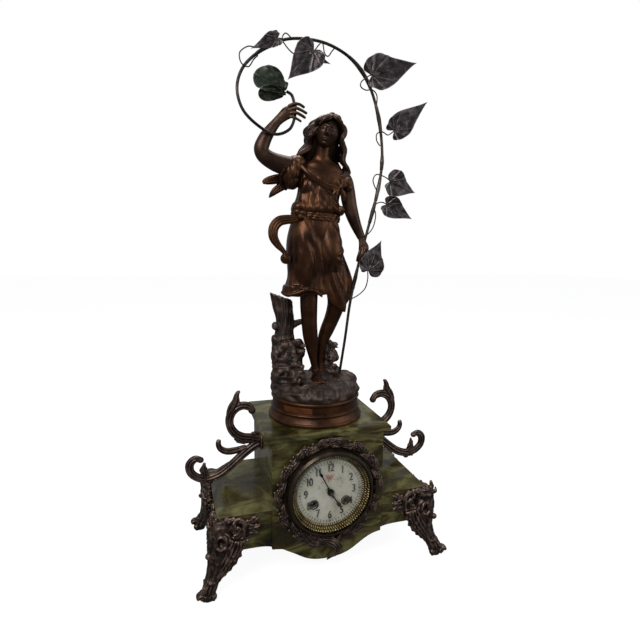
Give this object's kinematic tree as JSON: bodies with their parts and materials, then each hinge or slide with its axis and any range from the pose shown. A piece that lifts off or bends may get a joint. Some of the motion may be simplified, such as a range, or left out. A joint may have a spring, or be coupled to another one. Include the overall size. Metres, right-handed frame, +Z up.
{
  "type": "figural mantel clock",
  "caption": "Stone mantel clock on cast feet with a round striking movement behind a bezel door and a cast standing figure on a rock holding a leafy arching branch.",
  "frame": {"origin": "floor plane under the middle of the clock, at the centre of its bounding box", "axes": "+Z up along the height, dial faces -Y, +X to the viewer's right"},
  "size_m": [0.3518, 0.1718, 0.6774],
  "materials": {
    "onyx": "polished veined olive-green onyx",
    "figure_spelter": "red-brown patinated cast zinc, rubbed on the high spots",
    "mount_spelter": "dark brown patinated cast zinc mounts",
    "leaf_metal": "dark patinated sheet leaves and wire",
    "dark_copper": "dark coppery lacquered bezel",
    "gilt": "milled gilt sight ring",
    "movement_brass": "plain brass movement work",
    "steel": "plain steel arbors and pins",
    "blued_steel": "dark blued hands",
    "enamel": "cream-white dial enamel",
    "glass": "clear dial glass",
    "bell_metal": "turned bell metal"
  },
  "bodies": {
    "clock_case": {"front_panel": "onyx", "left_side_panel": "onyx", "right_side_panel": "onyx", "back_panel": "onyx", "floor_slab": "onyx", "top_slab": "onyx", "left_wing_body": "onyx", "right_wing_body": "onyx", "left_wing_cap": "onyx", "right_wing_cap": "onyx", "front_left_foot": "mount_spelter", "front_right_foot": "mount_spelter", "back_left_foot": "mount_spelter", "back_right_foot": "mount_spelter", "left_scroll_mount": "mount_spelter", "right_scroll_mount": "mount_spelter", "wreath_mount": "mount_spelter", "bezel_base": "dark_copper", "sight_ring": "gilt", "rear_frame": "dark_copper", "hinge_pins": "steel", "movement_straps": "steel", "dial": "enamel", "movement_front_plate": "movement_brass", "movement_back_plate": "movement_brass", "suspension_cock": "movement_brass", "bell": "bell_metal", "bell_stand": "steel", "socle": "figure_spelter", "rock_ground": "figure_spelter", "figure_legs": "figure_spelter", "figure_skirt": "figure_spelter", "figure_bodice": "figure_spelter", "raised_arm": "figure_spelter", "lowered_arm": "figure_spelter", "figure_head": "figure_spelter", "figure_ribbons": "figure_spelter", "branch_stem": "leaf_metal", "crown_leaves": "leaf_metal", "branch_leaves": "leaf_metal"},
    "bezel_door_body": {"bezel_door": "dark_copper", "bezel_glass": "glass"},
    "rear_door_body": {"rear_door": "dark_copper"},
    "minute_body": {"minute_hand": "blued_steel", "hand_nut": "steel", "cannon_pinion": "steel", "centre_wheel": "movement_brass"},
    "hour_body": {"hour_hand": "blued_steel", "hour_wheel": "movement_brass"},
    "minute_wheel_body": {"minute_wheel": "movement_brass"},
    "third_wheel_body": {"third_wheel": "movement_brass"},
    "escape_wheel_body": {"escape_wheel": "movement_brass"},
    "going_barrel_body": {"going_barrel": "movement_brass"},
    "strike_barrel_body": {"strike_barrel": "movement_brass"},
    "going_arbor_body": {"going_winding_arbor": "steel"},
    "strike_arbor_body": {"strike_winding_arbor": "steel"},
    "pendulum_body": {"pendulum_rod": "steel", "pendulum_bob": "movement_brass"},
    "anchor_body": {"anchor": "steel"},
    "hammer_body": {"hammer": "steel"}
  },
  "joints": [
    {"name": "minute_hand_turn", "type": "hinge", "parent": "clock_case", "child": "minute_body", "pos_m": [0, -0.05, 0.1145], "axis": [0, -1, 0], "continuous": true},
    {"name": "hour_hand_turn", "type": "hinge", "parent": "clock_case", "child": "hour_body", "pos_m": [0, -0.07, 0.1145], "axis": [0, -1, 0], "continuous": true},
    {"name": "minute_wheel_turn", "type": "hinge", "parent": "clock_case", "child": "minute_wheel_body", "pos_m": [0, -0.064, 0.1295], "axis": [0, -1, 0], "continuous": true},
    {"name": "third_wheel_turn", "type": "hinge", "parent": "clock_case", "child": "third_wheel_body", "pos_m": [0.0095, -0.045, 0.1285], "axis": [0, -1, 0], "continuous": true},
    {"name": "escape_wheel_turn", "type": "hinge", "parent": "clock_case", "child": "escape_wheel_body", "pos_m": [0, -0.045, 0.1395], "axis": [0, -1, 0], "continuous": true},
    {"name": "going_barrel_turn", "type": "hinge", "parent": "clock_case", "child": "going_barrel_body", "pos_m": [0.0217, -0.045, 0.0995], "axis": [0, -1, 0], "continuous": true},
    {"name": "strike_barrel_turn", "type": "hinge", "parent": "clock_case", "child": "strike_barrel_body", "pos_m": [-0.0217, -0.045, 0.0995], "axis": [0, -1, 0], "continuous": true},
    {"name": "going_winding", "type": "hinge", "parent": "clock_case", "child": "going_arbor_body", "pos_m": [0.0217, -0.06, 0.0995], "axis": [0, -1, 0], "continuous": true},
    {"name": "strike_winding", "type": "hinge", "parent": "clock_case", "child": "strike_arbor_body", "pos_m": [-0.0217, -0.06, 0.0995], "axis": [0, -1, 0], "continuous": true},
    {"name": "pendulum_swing", "type": "hinge", "parent": "clock_case", "child": "pendulum_body", "pos_m": [0, -0.0188, 0.1485], "axis": [0, -1, 0], "range_deg": [-4, 4]},
    {"name": "anchor_rock", "type": "hinge", "parent": "clock_case", "child": "anchor_body", "pos_m": [0, -0.045, 0.1485], "axis": [0, -1, 0], "range_deg": [-4, 4]},
    {"name": "hammer_lift", "type": "hinge", "parent": "clock_case", "child": "hammer_body", "pos_m": [-0.036, -0.03, 0.1265], "axis": [0, 1, 0], "range_deg": [0, 12]},
    {"name": "bezel_door_open", "type": "hinge", "parent": "clock_case", "child": "bezel_door_body", "pos_m": [0.0625, -0.0775, 0.1145], "axis": [0, 0, 1], "range_deg": [0, 110]},
    {"name": "rear_door_open", "type": "hinge", "parent": "clock_case", "child": "rear_door_body", "pos_m": [0.0565, 0.0722, 0.1145], "axis": [0, 0, -1], "range_deg": [0, 110]}
  ],
  "couplings": [
    {"joint": "hour_hand_turn", "follows": "minute_hand_turn", "ratio": 0.083333},
    {"joint": "minute_wheel_turn", "follows": "minute_hand_turn", "ratio": -0.33333},
    {"joint": "going_barrel_turn", "follows": "minute_hand_turn", "ratio": -0.2399},
    {"joint": "third_wheel_turn", "follows": "minute_hand_turn", "ratio": -6.5455},
    {"joint": "escape_wheel_turn", "follows": "minute_hand_turn", "ratio": 41.684},
    {"joint": "anchor_rock", "follows": "pendulum_swing", "ratio": 1}
  ]
}
